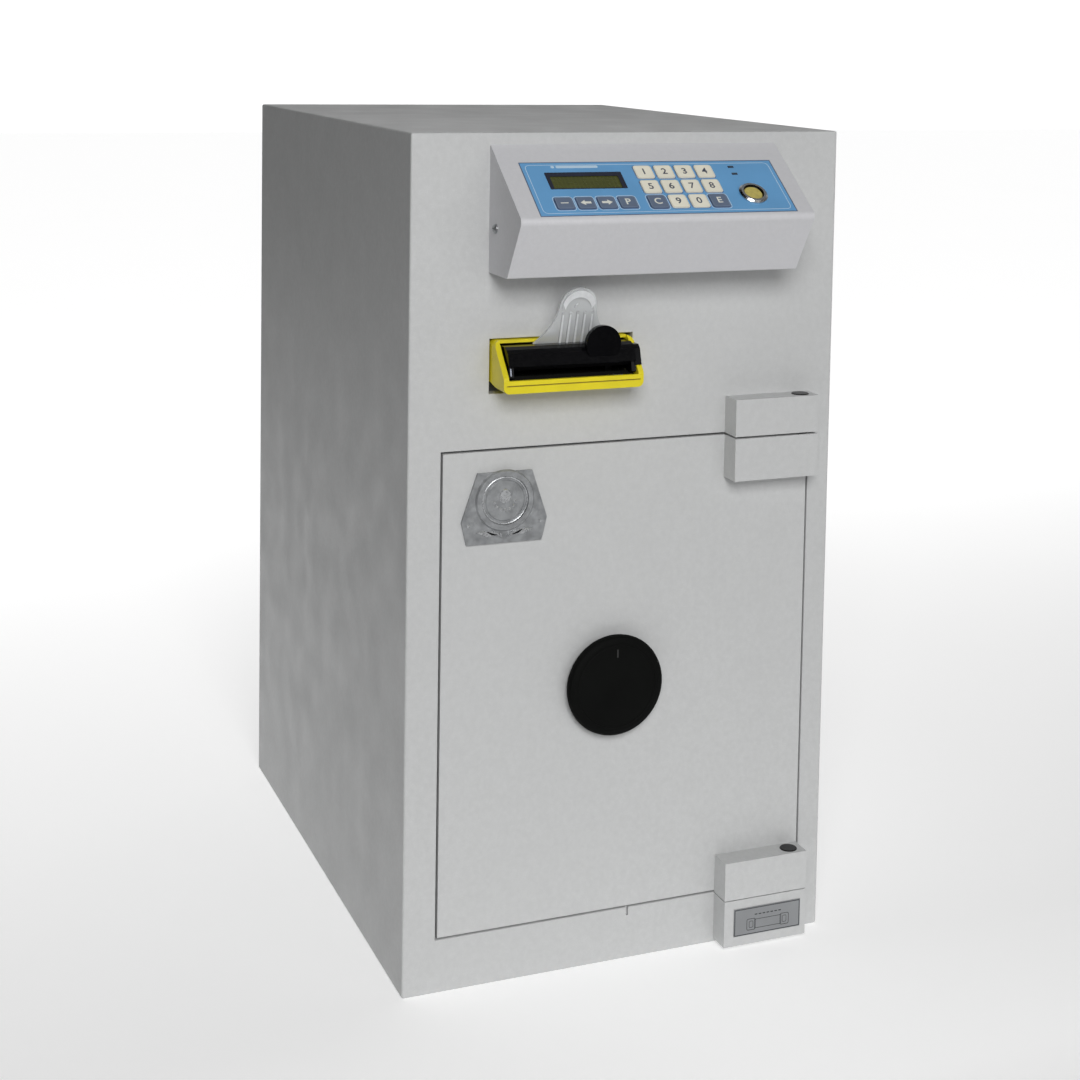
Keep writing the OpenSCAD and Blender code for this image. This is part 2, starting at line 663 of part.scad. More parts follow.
module note_guide_fin() color([0.85, 0.87, 0.88]) intersection() {
    translate([fin_x, front - 4.7, mouth_top - 1.5]) rotate([90 + fin_lean, 0, 0]) {
        linear_extrude(fin_t) polygon(fin_outline);
        translate([0, fin_l - fin_head_r, fin_t - 0.1]) linear_extrude(1.3) difference() {
            circle(r = fin_head_r - 1.8);
            translate([0, -6]) circle(r = fin_head_r - 2.6);
        }
        translate([0, fin_l - fin_head_r - 1, fin_t - 0.1]) cylinder(r = 3.2, h = 1.1);
        for (i = [-2 : 2]) translate([i * 6.3 - 1.1, 1, fin_t - 0.1]) cube([2.2, fin_l - 22, 1.4]);
    }
    block([fin_x - 42, fin_x + 42], [front - 50, front + 2], [mouth_top, mouth_top + 80]);
}

module acceptor_chassis() color([0.25, 0.26, 0.28]) {
    difference() {
        block([chassis_x0, chassis_x1], [chassis_y0, chassis_y1], [chassis_z0, chassis_z1]);
        block([chassis_x0 + chassis_t, chassis_x1 - chassis_t],
              [chassis_y0 + chassis_t, chassis_y1 - chassis_t],
              [chassis_z0 + chassis_t, chassis_z1 - chassis_t]);
        block(note_x, [chassis_y0 - 1, chassis_y0 + 3], [slot_z0 - 0.5, slot_z1 + 0.5]);
        block(note_x, throat_y, [chassis_z0 - 1, chassis_z0 + 3]);
        for (z = [feed_z, idler_z])
            x_rod(shaft_r + pin_fit, [chassis_x0 - 1, chassis_x1 + 1], roller_y, z);
    }
    for (x = [chassis_x0 + 8, chassis_x1 - 8], y = [chassis_y0 + 10, chassis_y1 - 7])
        z_rod(4, x, y, [shelf_z + 4, chassis_z0]);
}

// A roller: one shaft with two tyres
module roller(r, z) {
    x_rod(shaft_r, [chassis_x0, chassis_x1], roller_y, z);
    for (x = [-94, -51.4]) x_rod(r, [x, x + 16], roller_y, z);
}
module feed_roller() color([0.15, 0.15, 0.15]) roller(feed_r, feed_z);
module idler_roller() color([0.3, 0.3, 0.3]) roller(idler_r, idler_z);

// A cassette of plates, with fine seams between them, on two runners
module cash_cassette() color([0.5, 0.52, 0.55]) {
    gap = cassette_t + cassette_seam;
    block(cassette_x, cassette_y, [cassette_z[0], cassette_z[0] + cassette_t]);
    for (y = [cassette_y[0], cassette_y[1] - cassette_t])
        block(cassette_x, [y, y + cassette_t], cassette_z + [gap, -gap]);
    for (x = [cassette_x[0], cassette_x[1] - cassette_t])
        block([x, x + cassette_t], cassette_y + [gap, -gap], cassette_z + [gap, -gap]);
    difference() {
        block(cassette_x, cassette_y, [cassette_z[1] - cassette_t, cassette_z[1]]);
        block([-110, -19], throat_y, [cassette_z[1] - cassette_t - 1, cassette_z[1] + 1]);
    }
    for (x = [cassette_x[0], cassette_x[1] - 20])
        block([x, x + 20], cassette_y + [20, -20], [floor_t, cassette_z[0] - cassette_seam]);
}

front_frame();
left_wall();
right_wall();
top_plate();
back_plate();
floor_plate();
vault_shelf();
rear_cover();
cover_screws();
cable_gland();
upper_hinge_block();
lower_hinge_block();
hinge_pins();
rating_plate();
door_panel();
door_hinge_knuckles();
bolt_guides();
spindle_bush();
badge();
dog_bar();
boltwork_cover();
lock_case();
door_knob();
knob_spindle();
crank_disc();
bolt_bar();
locking_bolts();
console_housing();
console_bracket();
keypad_overlay();
lcd_module();
lcd_window();
keypad_board();
reader_socket();
reader_contact();
status_lights();
acceptor_bezel();
mouth_upper();
mouth_lip();
note_guide_fin();
acceptor_chassis();
feed_roller();
idler_roller();
cash_cassette();
for (i = [0 : len(digit_keys) - 1]) digit_key(i);
for (i = [0 : len(soft_keys) - 1]) soft_key(i);
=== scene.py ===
"""Looks of the cash deposit safe: materials, printed and moulded detail, light and camera."""
import math

import bmesh
import bpy
from mathutils import Matrix, Vector


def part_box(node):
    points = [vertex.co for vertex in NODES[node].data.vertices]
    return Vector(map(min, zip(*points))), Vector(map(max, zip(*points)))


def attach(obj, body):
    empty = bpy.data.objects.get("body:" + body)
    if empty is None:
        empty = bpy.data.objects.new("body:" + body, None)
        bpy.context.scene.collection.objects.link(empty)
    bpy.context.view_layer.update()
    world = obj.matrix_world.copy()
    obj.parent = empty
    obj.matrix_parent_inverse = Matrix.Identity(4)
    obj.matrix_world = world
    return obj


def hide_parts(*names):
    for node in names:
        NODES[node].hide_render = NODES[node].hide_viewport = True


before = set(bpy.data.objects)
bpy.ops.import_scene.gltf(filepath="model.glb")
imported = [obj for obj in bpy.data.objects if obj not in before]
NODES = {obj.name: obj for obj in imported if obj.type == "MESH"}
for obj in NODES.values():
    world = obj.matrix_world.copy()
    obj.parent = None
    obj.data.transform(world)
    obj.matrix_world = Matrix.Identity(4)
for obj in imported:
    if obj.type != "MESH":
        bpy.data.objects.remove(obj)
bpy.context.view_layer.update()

MM = 0.001
DIGIT_KEYS = ["key_1", "key_2", "key_3", "key_4", "key_5", "key_6",
              "key_7", "key_8", "key_c", "key_9", "key_0", "key_e"]
SOFT_KEYS = ["key_blank", "key_left", "key_right", "key_p"]
SLATE_KEYS = ["key_c", "key_e"] + SOFT_KEYS


# ---------------------------------------------------------------- helpers

def srgb(red, green, blue):
    """A linear colour from 0-255 screen values."""
    def channel(value):
        value /= 255.0
        return value / 12.92 if value <= 0.04045 else ((value + 0.055) / 1.055) ** 2.4
    return (channel(red), channel(green), channel(blue), 1.0)


def scaled(colour, factor):
    """A colour made lighter or darker."""
    return tuple(min(1.0, c * factor) for c in colour[:3]) + (1.0,)


def low(node):
    """The least corner of a CAD node's box, in metres."""
    return Vector(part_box(node)[0])


def high(node):
    """The greatest corner of a CAD node's box, in metres."""
    return Vector(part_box(node)[1])


def middle(node):
    return (low(node) + high(node)) / 2


def new_object(name, mesh_or_bmesh, material, body):
    """Puts a mesh into the scene, gives it its material and lets it ride on a body."""
    if isinstance(mesh_or_bmesh, bmesh.types.BMesh):
        mesh = bpy.data.meshes.new(name)
        bmesh.ops.recalc_face_normals(mesh_or_bmesh, faces=mesh_or_bmesh.faces)
        mesh_or_bmesh.to_mesh(mesh)
        mesh_or_bmesh.free()
    else:
        mesh = mesh_or_bmesh
    piece = bpy.data.objects.new(name, mesh)
    bpy.context.scene.collection.objects.link(piece)
    mesh.materials.clear()
    mesh.materials.append(material)
    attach(piece, body)
    return piece


def bevel(piece, width, segments=2, angle=35, weighted=False):
    """Rounds the edges sharper than the angle, or the ones that carry a weight."""
    modifier = piece.modifiers.new("edge", "BEVEL")
    modifier.width = width
    modifier.segments = segments
    modifier.limit_method = "WEIGHT" if weighted else "ANGLE"
    modifier.angle_limit = math.radians(angle)


def smooth(piece, angle=35):
    """Smooth shading except over edges sharper than the angle; for this script's own meshes."""
    piece.data.shade_smooth()
    piece.data.set_sharp_from_angle(angle=math.radians(angle))


def finish_node(name, material, width=0.0, segments=2, angle=35):
    """Gives a CAD node its material and, if wanted, softened edges."""
    node = NODES[name]
    node.data.materials.clear()
    node.data.materials.append(material)
    if width:
        bevel(node, width, segments, angle)


# ---------------------------------------------------------------- materials

class Nodes:
    """A short way to build one node material."""

    def __init__(self, name):
        self.mat = bpy.data.materials.new(name)
        self.mat.use_nodes = True
        self.tree = self.mat.node_tree
        self.bsdf = self.tree.nodes["Principled BSDF"]
        self.coords = self.tree.nodes.new("ShaderNodeTexCoord").outputs["Object"]
        self.bumps = None

    def link(self, source, target):
        self.tree.links.new(source, target)

    def noise(self, scale, detail=3.0, stretch=(1, 1, 1), distortion=0.0):
        """Soft random patches that are fixed to the piece, in its own metres."""
        mapping = self.tree.nodes.new("ShaderNodeMapping")
        mapping.inputs["Scale"].default_value = stretch
        self.link(self.coords, mapping.inputs["Vector"])
        texture = self.tree.nodes.new("ShaderNodeTexNoise")
        texture.inputs["Scale"].default_value = scale
        texture.inputs["Detail"].default_value = detail
        texture.inputs["Distortion"].default_value = distortion
        self.link(mapping.outputs["Vector"], texture.inputs["Vector"])
        return texture.outputs["Fac"]

    def remap(self, value, out_low, out_high, in_low=0.3, in_high=0.7):
        """Stretches one range of a value onto another; noise mostly lies between 0.3 and 0.7."""
        node = self.tree.nodes.new("ShaderNodeMapRange")
        node.inputs["From Min"].default_value = in_low
        node.inputs["From Max"].default_value = in_high
        node.inputs["To Min"].default_value = out_low
        node.inputs["To Max"].default_value = out_high
        self.link(value, node.inputs["Value"])
        return node.outputs["Result"]

    def mix(self, factor, first, second):
        """One colour blended into another, where either is a colour or a socket."""
        node = self.tree.nodes.new("ShaderNodeMix")
        node.data_type = "RGBA"
        for socket, value in ((node.inputs[6], first), (node.inputs[7], second)):
            if isinstance(value, tuple):
                socket.default_value = value
            else:
                self.link(value, socket)
        self.link(factor, node.inputs[0])
        return node.outputs[2]

    def bump(self, height, depth, strength=1.0):
        """Fine relief, in metres, laid over any relief that is there already."""
        node = self.tree.nodes.new("ShaderNodeBump")
        node.inputs["Distance"].default_value = depth
        node.inputs["Strength"].default_value = strength
        self.link(height, node.inputs["Height"])
        if self.bumps is not None:
            self.link(self.bumps, node.inputs["Normal"])
        self.bumps = node.outputs["Normal"]
        self.link(self.bumps, self.bsdf.inputs["Normal"])


def plain(name, colour, rough, metal=0.0, vary=0.05, patch=9.0, grain=1200.0,
          depth=0.00003, rough_vary=0.06, stretch=(1, 1, 1), **sockets):
    """A surface with slow colour drift, uneven gloss and a fine grain."""
    made = Nodes(name)
    made.bsdf.inputs["Metallic"].default_value = metal
    for key, value in sockets.items():
        made.bsdf.inputs[key.replace("_", " ").title().replace("Ior", "IOR")].default_value = value
    drift = made.remap(made.noise(patch, 4.0), 0.0, 1.0)
    tint = made.mix(drift, scaled(colour, 1 - vary), scaled(colour, 1 + vary))
    made.link(tint, made.bsdf.inputs["Base Color"])
    fine = made.noise(grain, 2.0, stretch)
    made.link(made.remap(fine, rough - rough_vary, rough + rough_vary),
              made.bsdf.inputs["Roughness"])
    made.bump(fine, depth)
    return made.mat


def powder_coat(name, colour, rough=0.46, speckle=0.05):
    """Baked powder paint: orange-peel skin, fine speckle, mottling and faint handling marks."""
    made = Nodes(name)
    drift = made.remap(made.noise(3.2, 3.0), 0.0, 1.0)
    tint = made.mix(drift, scaled(colour, 0.97), scaled(colour, 1.03))
    dots = made.remap(made.noise(950.0, 2.0), 0.0, 1.0, 0.35, 0.65)
    tint = made.mix(dots, scaled(colour, 1 - speckle), tint)
    mottle = made.remap(made.noise(240.0, 3.0), 0.0, 1.0, 0.3, 0.7)
    tint = made.mix(mottle, scaled(colour, 1 - 1.6 * speckle), tint)
    smears = made.remap(made.noise(11.0, 6.0, (1.0, 1.0, 2.4), 0.6), 0.0, 0.08, 0.55, 0.78)
    tint = made.mix(smears, tint, scaled(colour, 0.8))
    made.link(tint, made.bsdf.inputs["Base Color"])
    made.link(made.remap(made.noise(26.0, 5.0), rough - 0.07, rough + 0.08),
              made.bsdf.inputs["Roughness"])
    made.bump(made.noise(420.0, 1.0), 0.00016, 0.55)
    made.bump(made.noise(1500.0, 1.0), 0.00004, 0.5)
    return made.mat


def brushed(name, colour, rough, along=(1, 1, 14), metal=1.0):
    """Metal with a fine grain drawn out along one direction."""
    return plain(name, colour, rough, metal, vary=0.07, patch=24.0, grain=700.0, depth=0.00002,
                 rough_vary=0.09, stretch=along)


def clear(name, colour, rough=0.06):
    """Clear moulded plastic with faint flow lines."""
    made = Nodes(name)
    made.bsdf.inputs["Base Color"].default_value = colour
    made.bsdf.inputs["Transmission Weight"].default_value = 0.62
    made.bsdf.inputs["IOR"].default_value = 1.46
    made.bsdf.inputs["Coat Weight"].default_value = 1.0
    made.bsdf.inputs["Coat Roughness"].default_value = 0.08
    made.link(made.remap(made.noise(90.0, 3.0), rough - 0.03, rough + 0.06),
              made.bsdf.inputs["Roughness"])
    made.bump(made.noise(60.0, 2.0, (3.0, 1.0, 0.4)), 0.0006, 0.5)
    return made.mat


def display():
    """A green character display: two rows of sixteen faint cells."""
    made = Nodes("lcd glass")
    made.bsdf.inputs["Coat Weight"].default_value = 0.3
    made.bsdf.inputs["Coat Roughness"].default_value = 0.04
    brick = made.tree.nodes.new("ShaderNodeTexBrick")
    mapping = made.tree.nodes.new("ShaderNodeMapping")
    mapping.inputs["Rotation"].default_value = (-PANEL_SLOPE, 0.0, 0.0)
    made.link(made.coords, mapping.inputs["Vector"])
    made.link(mapping.outputs["Vector"], brick.inputs["Vector"])
    brick.offset = 0.0
    brick.inputs["Color1"].default_value = srgb(68, 72, 22)
    brick.inputs["Color2"].default_value = srgb(73, 76, 24)
    brick.inputs["Mortar"].default_value = srgb(80, 84, 28)
    brick.inputs["Scale"].default_value = 1.0
    brick.inputs["Mortar Size"].default_value = CELL_LINE * MM
    brick.inputs["Brick Width"].default_value = CELL_WIDTH * MM
    brick.inputs["Row Height"].default_value = CELL_HEIGHT * MM
    drift = made.remap(made.noise(60.0, 2.0), 0.0, 0.5)
    made.link(made.mix(drift, brick.outputs["Color"], srgb(60, 64, 18)),
              made.bsdf.inputs["Base Color"])
    made.link(made.remap(made.noise(300.0, 2.0), 0.2, 0.3), made.bsdf.inputs["Roughness"])
    return made.mat


PANEL_SLOPE = math.radians(36.04)
CELL_WIDTH, CELL_HEIGHT, CELL_LINE = 3.4, 5.8, 0.45
PAINT = powder_coat("cabinet paint", srgb(199, 200, 200))
DOOR_PAINT = powder_coat("door paint", srgb(200, 201, 201))
CONSOLE_PAINT = powder_coat("console paint", srgb(207, 207, 210), rough=0.38, speckle=0.03)
CASSETTE_PAINT = powder_coat("cassette paint", srgb(96, 104, 116), rough=0.4)
ZINC = brushed("zinc steel", srgb(176, 178, 180), 0.36, (1, 1, 6))
BRIGHT = brushed("bright steel", srgb(205, 207, 208), 0.2, (14, 1, 1))
DARK_STEEL = plain("dark steel", srgb(66, 68, 72), 0.44, 0.2)
BLACKENED = plain("blackened steel", srgb(14, 14, 16), 0.35, 0.3, grain=1600.0)
PLATE = brushed("etched plate", srgb(150, 152, 154), 0.42, (16, 1, 1), metal=0.75)
CAST = plain("cast badge", srgb(152, 154, 156), 0.4, 0.45, vary=0.22, patch=130.0, grain=520.0,
             depth=0.00016, rough_vary=0.1)
BRASS = brushed("bush brass", srgb(196, 168, 96), 0.28, (1, 12, 1))
GOLD = plain("contact gold", srgb(216, 200, 112), 0.34, 0.35, vary=0.12, patch=260.0, grain=1500.0)
BLACK_GLOSS = plain("black gloss", srgb(8, 8, 10), 0.16, 0.0, vary=0.3, rough_vary=0.05,
                    grain=500.0, depth=0.00001, specular_ior_level=0.14)
SMOKED = plain("smoked plastic", srgb(38, 38, 36), 0.1, 0.0, vary=0.3, rough_vary=0.04,
               grain=400.0, depth=0.00001, coat_weight=0.8)
CLEAR = clear("clear plastic", (0.93, 0.95, 0.96, 1.0))
YELLOW = plain("yellow plastic", srgb(226, 210, 32), 0.34, 0.0, vary=0.08, patch=45.0,
               grain=1100.0, depth=0.00003)
KNOB_BLACK = plain("knob black", srgb(9, 10, 9), 0.62, 0.0, vary=0.2, patch=30.0, grain=1400.0,
                   depth=0.00006, specular_ior_level=0.07)
RUBBER = plain("roller rubber", srgb(36, 36, 37), 0.75, 0.0, vary=0.2, grain=1500.0)
OVERLAY = plain("overlay film", srgb(102, 160, 208), 0.36, 0.0, vary=0.05, patch=28.0, grain=2200.0,
                depth=0.00003)
PRINT_LIGHT = plain("light print", srgb(190, 214, 232), 0.4, 0.0, vary=0.04)
IVORY = plain("ivory key", srgb(236, 232, 215), 0.42, 0.0, vary=0.04, patch=60.0, grain=2200.0)
SLATE = plain("slate key", srgb(98, 112, 134), 0.42, 0.0, vary=0.06, patch=60.0, grain=2200.0)
LEGEND_DARK = plain("dark legend", srgb(74, 78, 92), 0.5, 0.0, vary=0.1)
LEGEND_LIGHT = plain("light legend", srgb(226, 226, 216), 0.5, 0.0, vary=0.05)
BOARD = plain("circuit board", srgb(28, 104, 62), 0.4, 0.0, vary=0.2, patch=300.0)
LAMP = plain("unlit lamp", srgb(58, 66, 78), 0.2, 0.0, vary=0.2, patch=400.0)
# Painted shade: a dark band along the key film's edge
FILM_EDGE_PAINTED_SHADE = plain("film edge painted shade", srgb(88, 96, 116), 0.4, 0.0, vary=0.15, patch=60.0)
# Painted shade: dark rings in the gap round each key
KEY_GAP_PAINTED_SHADE = plain("key gap painted shade", srgb(96, 120, 164), 0.4, 0.0, vary=0.06)
PRINT_PLATE = plain("etched print", srgb(58, 60, 64), 0.5, 0.2, vary=0.2, patch=200.0)
LCD_FRAME = plain("display frame", srgb(18, 24, 46), 0.18, 0.0, vary=0.3, patch=60.0,
                  coat_weight=0.5)
IVORY_EDGE = plain("ivory edge", srgb(216, 210, 190), 0.42, 0.0, vary=0.05)
SLATE_EDGE = plain("slate edge", srgb(120, 134, 156), 0.42, 0.0, vary=0.06)
KNOB_MARK = plain("knob mark", srgb(40, 40, 40), 0.5, 0.0, vary=0.1)
# Painted highlight: the badge's raised relief in a lighter colour than its plate
CAST_PAINTED_HIGHLIGHT = plain("cast relief painted highlight", srgb(190, 192, 194), 0.3, 0.6, vary=0.2, patch=160.0, grain=600.0,
                  depth=0.00012, rough_vary=0.1)
# Painted highlight: white strips on the clear fin's rim and ribs
FIN_PAINTED_HIGHLIGHT = plain("fin painted highlight", srgb(236, 238, 240), 0.2, 0.0, vary=0.06, patch=300.0,
              coat_weight=0.6, transmission_weight=0.25)
# Painted highlight: light strips on the smoked lip and on the mouth's end block
LIP_PAINTED_HIGHLIGHT = plain("lip painted highlight", srgb(150, 156, 170), 0.16, 0.0, vary=0.35, patch=160.0,
                  coat_weight=0.6)
# Painted shade: a dark line in the tray's groove
GROOVE_PAINTED_SHADE = plain("tray groove painted shade", srgb(132, 116, 22), 0.5, 0.0, vary=0.15, patch=90.0)
LCD = display()


# ---------------------------------------------------------------- cabinet

# The shell's rounding, the share of it that the front's cut-outs get, the shortest edge that
# is rounded and how near an edge lies to a face that it belongs to, in millimetres
SHELL_ROUND, FRONT_SHARE, SHORT_EDGE, NEAR = 1.8, 0.35, 25, 0.05


def cabinet_shell():
    """The welded body: its plates joined into one skin, with ground and painted edges."""
    names = ["front_frame", "left_wall", "right_wall", "top_plate", "back_plate"]
    shell = bpy.data.objects.new("cabinet_shell", NODES[names[0]].data.copy())
    bpy.context.scene.collection.objects.link(shell)
    for name in names[1:]:
        cutter = shell.modifiers.new(name, "BOOLEAN")
        cutter.operation = "UNION"
        cutter.solver = "EXACT"
        cutter.object = NODES[name]
    bpy.context.view_layer.update()
    graph = bpy.context.evaluated_depsgraph_get()
    joined = bpy.data.meshes.new_from_object(shell.evaluated_get(graph))
    shell.modifiers.clear()
    mesh = bmesh.new()
    mesh.from_mesh(joined)
    bmesh.ops.remove_doubles(mesh, verts=mesh.verts, dist=0.00002)
    bmesh.ops.dissolve_limit(mesh, angle_limit=math.radians(0.5), verts=mesh.verts,
                             edges=mesh.edges)
    weights = mesh.edges.layers.float.new("bevel_weight_edge")
    outer_low, outer_high = low("front_frame"), high("back_plate")
    outer_high.x, outer_high.z = high("front_frame").x, high("front_frame").z
    for edge in mesh.edges:
        if edge.calc_length() < SHORT_EDGE * MM or edge.calc_face_angle(0.0) < 1.0:
            continue
        centre = (edge.verts[0].co + edge.verts[1].co) / 2
        sides = sum(min(abs(centre[i] - outer_low[i]), abs(centre[i] - outer_high[i])) < NEAR * MM
                    for i in range(3))
        if sides >= 2:
            edge[weights] = 1.0
        elif abs(centre.y - outer_low.y) < NEAR * MM:
            edge[weights] = FRONT_SHARE
    old = shell.data
    shell.data = bpy.data.meshes.new("shell")
    mesh.to_mesh(shell.data)
    mesh.free()
    bevel(shell, SHELL_ROUND * MM, 3, weighted=True)
    bpy.context.view_layer.update()
    graph = bpy.context.evaluated_depsgraph_get()
    rounded_mesh = bpy.data.meshes.new_from_object(shell.evaluated_get(graph))
    for vertex in rounded_mesh.vertices:
        for i in range(3):
            vertex.co[i] = min(max(vertex.co[i], outer_low[i]), outer_high[i])
    piece = new_object("cabinet_body_skin", rounded_mesh, PAINT, "cabinet")
    bpy.data.objects.remove(shell)
    bpy.data.meshes.remove(old)
    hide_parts(*names)


cabinet_shell()
for node_name in ("floor_plate", "vault_shelf"):
    finish_node(node_name, PAINT)
finish_node("rear_cover", PAINT, 0.3 * MM, 1)
for node_name in ("upper_hinge_block", "lower_hinge_block"):
    finish_node(node_name, PAINT, 1.2 * MM, 3)
finish_node("door_hinge_knuckles", DOOR_PAINT, 1.2 * MM, 3)
finish_node("door_panel", DOOR_PAINT, 0.6 * MM, 2)
finish_node("boltwork_cover", DOOR_PAINT, 0.4 * MM, 1)
finish_node("hinge_pins", BLACKENED)
finish_node("cover_screws", ZINC)
finish_node("cable_gland", KNOB_BLACK, 0.4 * MM, 2)
finish_node("rating_plate", PLATE, 0.3 * MM, 2)
finish_node("badge", CAST, 0.5 * MM, 2)
finish_node("dog_bar", DARK_STEEL, 0.8 * MM, 2)
finish_node("lock_case", DARK_STEEL, 0.8 * MM, 2)
finish_node("bolt_guides", ZINC, 0.4 * MM, 1)
finish_node("bolt_bar", ZINC, 0.4 * MM, 1)
finish_node("crank_disc", ZINC, 0.4 * MM, 1)
finish_node("locking_bolts", BRIGHT)
finish_node("knob_spindle", BRIGHT)
finish_node("spindle_bush", BRASS)
finish_node("door_knob", KNOB_BLACK)
finish_node("cash_cassette", CASSETTE_PAINT, 0.8 * MM, 2)
finish_node("console_housing", CONSOLE_PAINT, 0.5 * MM, 2, 50)
finish_node("console_bracket", ZINC)
finish_node("keypad_overlay", OVERLAY)
finish_node("lcd_window", LCD)
finish_node("lcd_module", BOARD)
finish_node("keypad_board", BOARD)
finish_node("reader_socket", BRIGHT, 0.3 * MM, 2)
finish_node("reader_contact", GOLD, 0.2 * MM, 2)
finish_node("status_lights", LAMP)
finish_node("acceptor_bezel", YELLOW, 0.8 * MM, 3)
finish_node("mouth_upper", BLACK_GLOSS, 1.2 * MM, 3)
finish_node("mouth_lip", SMOKED, 0.6 * MM, 2)
finish_node("note_guide_fin", CLEAR)
finish_node("acceptor_chassis", DARK_STEEL, 0.6 * MM, 1)
finish_node("feed_roller", RUBBER)
finish_node("idler_roller", RUBBER)
for key in DIGIT_KEYS + SOFT_KEYS:
    finish_node(key, SLATE if key in SLATE_KEYS else IVORY, 0.35 * MM, 2)


# ---------------------------------------------------------------- shapes for the detail

def rounded(width, height, radius, centre=(0.0, 0.0), steps=5):
    """A rectangle with round corners, counterclockwise, in millimetres."""
    points = []
    for number, (sx, sy) in enumerate(((1, 1), (-1, 1), (-1, -1), (1, -1))):
        for step in range(steps + 1):
            angle = math.radians(90 * number + 90 * step / steps)
            points.append((centre[0] + sx * (width / 2 - radius) + radius * math.cos(angle),
                           centre[1] + sy * (height / 2 - radius) + radius * math.sin(angle)))
    return points


def round_outline(radius, centre=(0.0, 0.0), steps=32, stretch=1.0):
    """A circle, or an ellipse if it is stretched upwards, counterclockwise, in millimetres."""
    return [(centre[0] + radius * math.cos(2 * math.pi * i / steps),
             centre[1] + radius * stretch * math.sin(2 * math.pi * i / steps))
            for i in range(steps)]


def level(mesh, outline, height, place):
    """An outline's points at one height above the place, as vertices."""
    return [mesh.verts.new(place @ Vector((x * MM, y * MM, height * MM))) for x, y in outline]


def walls(mesh, lower, upper):
    """Faces all round between two rings of vertices."""
    count = len(lower)
    for i in range(count):
        j = (i + 1) % count
        mesh.faces.new((lower[i], lower[j], upper[j], upper[i]))


def prism(mesh, outline, bottom, top, place, inset=0.0):
    """A solid of an outline between two heights, with an upper edge drawn in by the inset."""
    lower = level(mesh, outline, bottom, place)
    upper = level(mesh, outline, top - inset, place)
    walls(mesh, lower, upper)
    if inset:
        mid = [sum(p[i] for p in outline) / len(outline) for i in range(2)]
        drawn = []
        for x, y in outline:
            away = math.hypot(x - mid[0], y - mid[1]) or 1.0
            drawn.append((x - (x - mid[0]) / away * inset, y - (y - mid[1]) / away * inset))
        cap = level(mesh, drawn, top, place)
        walls(mesh, upper, cap)
        upper = cap
    mesh.faces.new(upper)
    mesh.faces.new(lower[::-1])


def band(mesh, outer, inner, bottom, top, place):
    """A ring between two outlines that have the same number of points."""
    low_out, low_in = level(mesh, outer, bottom, place), level(mesh, inner, bottom, place)
    top_out, top_in = level(mesh, outer, top, place), level(mesh, inner, top, place)
    walls(mesh, low_out, top_out)
    walls(mesh, top_in, low_in)
    walls(mesh, top_out, top_in)
    walls(mesh, low_in, low_out)


def rounded_band(mesh, width, height, radius, line, bottom, top, place, centre=(0.0, 0.0)):
    """A ring of one line width, inside a rounded rectangle."""
    outer = rounded(width, height, radius, centre)
    inner = rounded(width - 2 * line, height - 2 * line, max(radius - line, 0.1), centre)
    band(mesh, outer, inner, bottom, top, place)


def lathe(mesh, profile, place, steps=48):
    """A closed profile of radius and height, turned about the place's Z axis."""
    rings = [level(mesh, round_outline(radius, steps=steps), height, place)
             for radius, height in profile]
    for i, ring in enumerate(rings):
        walls(mesh, ring, rings[(i + 1) % len(rings)])


def tube(mesh, points, radius, steps=10):
    """A round bar along points in metres, closed at both ends."""
    rings = []
    for i, point in enumerate(points):
        before, after = points[max(i - 1, 0)], points[min(i + 1, len(points) - 1)]
        along = (after - before).normalized()
        side = along.orthogonal() if i == 0 else side - side.dot(along) * along
        side.normalize()
        up = along.cross(side)
        rings.append([mesh.verts.new(point + radius * (side * math.cos(a) + up * math.sin(a)))
                      for a in (2 * math.pi * k / steps for k in range(steps))])
        if i:
            walls(mesh, rings[-2], rings[-1])
    mesh.faces.new(rings[0][::-1])
    mesh.faces.new(rings[-1])


def character(name, glyph, size, place, material, body):
    """One raised character, centred on the place."""
    curve = bpy.data.curves.new(name, "FONT")
    curve.body = glyph
    curve.size = size * MM
    curve.align_x, curve.align_y = "CENTER", "CENTER"
    curve.extrude = 0.04 * MM
    curve.offset = 0.14 * MM
    drawn = bpy.data.objects.new(name, curve)
    bpy.context.scene.collection.objects.link(drawn)
    bpy.context.view_layer.update()
    graph = bpy.context.evaluated_depsgraph_get()
    mesh = bpy.data.meshes.new_from_object(drawn.evaluated_get(graph))
    bpy.data.objects.remove(drawn)
    bpy.data.curves.remove(curve)
    mesh.transform(place)
    return new_object(name, mesh, material, body)


def facing_front(x, y, z):
    """A place in millimetres whose X runs right, Y runs up and Z points out of the front."""
    return Matrix.Translation((x * MM, y * MM, z * MM)) @ Matrix.Rotation(math.radians(90), 4, "X")


# ---------------------------------------------------------------- key panel

FRONT = low("front_frame").y / MM
PANEL = (Matrix.Translation((0.0, FRONT * MM, high("console_housing").z))
         @ Matrix.Rotation(PANEL_SLOPE, 4, "X"))
# Places on the panel: X runs right and V runs down the slope from its top edge
PRINT = 0.05
OVERLAY_X, OVERLAY_V = (-107.7, 115.1), (22.7, 87.1)
OVERLAY_MIDDLE = (sum(OVERLAY_X) / 2, -sum(OVERLAY_V) / 2)
OVERLAY_SIZE = (OVERLAY_X[1] - OVERLAY_X[0], OVERLAY_V[1] - OVERLAY_V[0])
LCD_X, LCD_V = (-88.7, -25.3), (36.4, 54.4)
LCD_MIDDLE, LCD_OPENING = (-57.0, -45.4), (-57.4, -47.4)
NAME_BAR, NAME_DOT = (-59.8, -28.6), (-80.6, -28.6)
READER = (83.2, -64.9)
KEY_TOP, LEGEND_SIZE = 0.9, 9.6
